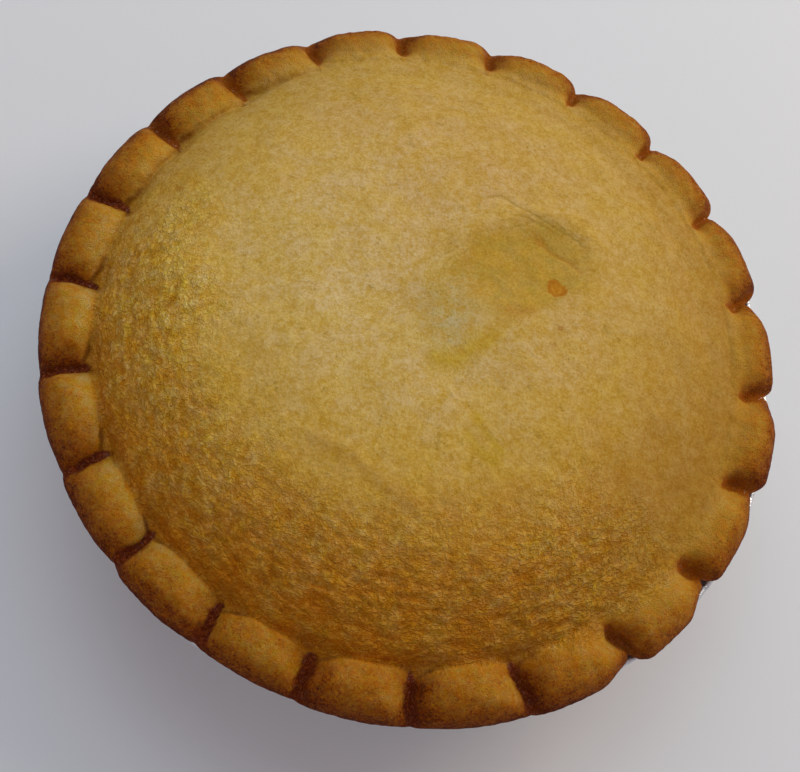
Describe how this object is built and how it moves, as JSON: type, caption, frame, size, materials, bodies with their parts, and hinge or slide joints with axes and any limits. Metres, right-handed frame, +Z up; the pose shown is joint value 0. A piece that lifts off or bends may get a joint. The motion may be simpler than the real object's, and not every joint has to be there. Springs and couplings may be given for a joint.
{
  "type": "meat and potato pie",
  "caption": "Whole round baked pie with a low domed pastry lid and a finger-crimped rim, in its thin fluted foil tin.",
  "frame": {"origin": "bottom centre of the bounding box, on the table under the middle of the tin's base", "axes": "+Z up through the lid; the picture's camera stands on the -Y side, above and a little to -X, with +X to its right"},
  "size_m": [0.1783, 0.1788, 0.0566],
  "materials": {
    "baked_crust": "baked shortcrust, matt, browned at the rim and in the crimps",
    "foil": "bright pressed foil"
  },
  "bodies": {
    "root": {"pie": "baked_crust", "foil_tin": "foil"}
  },
  "joints": []
}
